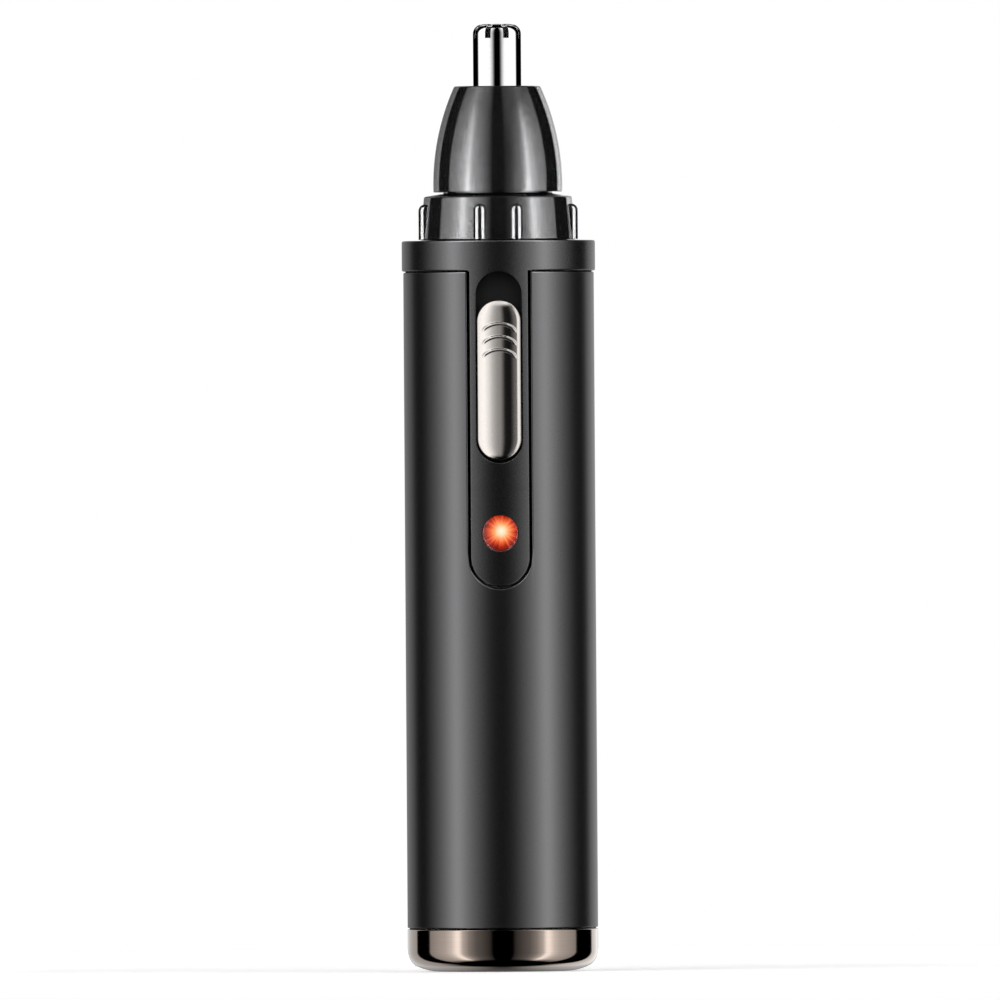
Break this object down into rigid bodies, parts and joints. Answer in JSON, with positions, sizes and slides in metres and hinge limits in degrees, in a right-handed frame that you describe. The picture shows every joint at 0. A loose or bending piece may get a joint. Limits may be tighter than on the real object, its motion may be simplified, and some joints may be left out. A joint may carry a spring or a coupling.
{
  "type": "nose hair trimmer",
  "caption": "Slim round battery trimmer with a slide switch, a charging light, a twist-off ribbed head and a spinning cutter inside a slotted steel tip.",
  "frame": {"origin": "centre of the end cap's flat foot, on the trimmer's long axis", "axes": "+Z along the long axis from the foot to the cutter, the switch and the light face -Y, +X to the right as the switch is looked at"},
  "size_m": [0.0274, 0.0283, 0.1342],
  "materials": {
    "satin_black_sleeve": "satin",
    "satin_black_frame": "satin",
    "gloss_black": "gloss",
    "bronze_chrome": "polished",
    "pearl_nickel": "satin",
    "cutter_steel": "polished",
    "black_plastic": "matte",
    "white_nylon": "matte",
    "nickel": "polished",
    "foam": "matte",
    "cell_wrap": "satin",
    "board_green": "satin",
    "led_chip": "gloss",
    "led_lens": "gloss",
    "motor_steel": "satin",
    "ferrite": "matte",
    "armature": "satin",
    "bronze_bush": "satin",
    "terminal_brass": "polished",
    "screw_steel": "satin",
    "seal_rubber": "matte",
    "lead_red": "satin",
    "lead_black": "satin"
  },
  "bodies": {
    "housing": {"outer_sleeve": "satin_black_sleeve", "front_collar": "satin_black_frame", "inner_frame": "black_plastic", "end_cap": "bronze_chrome", "charging_socket": "black_plastic", "socket_rim": "nickel", "socket_pin": "nickel", "battery_pad": "foam", "battery_tabs": "nickel", "battery_cell": "cell_wrap", "circuit_board": "board_green", "board_components": "black_plastic", "board_screws": "screw_steel", "led_chip": "led_chip", "led_lens": "led_lens", "switch_case": "screw_steel", "motor_can": "motor_steel", "motor_end_bell": "white_nylon", "motor_magnets": "ferrite", "motor_bushes": "bronze_bush", "motor_terminals": "terminal_brass", "motor_holder": "black_plastic", "holder_screws": "screw_steel", "positive_leads": "lead_red", "negative_leads": "lead_black"},
    "switch": {"switch_knob": "pearl_nickel", "switch_lever": "black_plastic"},
    "rotor": {"motor_armature": "armature", "motor_shaft": "screw_steel", "drive_coupling": "white_nylon", "spindle": "white_nylon", "spindle_clip": "screw_steel", "cutter_spring": "screw_steel", "cutter_blade": "cutter_steel"},
    "head": {"head_base": "gloss_black", "spindle_bush": "bronze_bush", "cover_seal": "seal_rubber"},
    "cover": {"cutter_cover": "gloss_black", "tip_retainer": "black_plastic", "outer_cutter": "cutter_steel"}
  },
  "joints": [
    {"name": "switch_slide", "type": "slide", "parent": "housing", "child": "switch", "axis": [0, 0, 1], "range_m": [0, 0.0036]},
    {"name": "rotor_spin", "type": "hinge", "parent": "housing", "child": "rotor", "pos_m": [0, 0, 0.0955], "axis": [0, 0, 1], "continuous": true},
    {"name": "head_twist", "type": "hinge", "parent": "housing", "child": "head", "pos_m": [0, 0, 0.1035], "axis": [0, 0, 1], "range_deg": [0, 30]},
    {"name": "cover_pull", "type": "slide", "parent": "head", "child": "cover", "axis": [0, 0, 1], "range_m": [0, 0.026]}
  ]
}
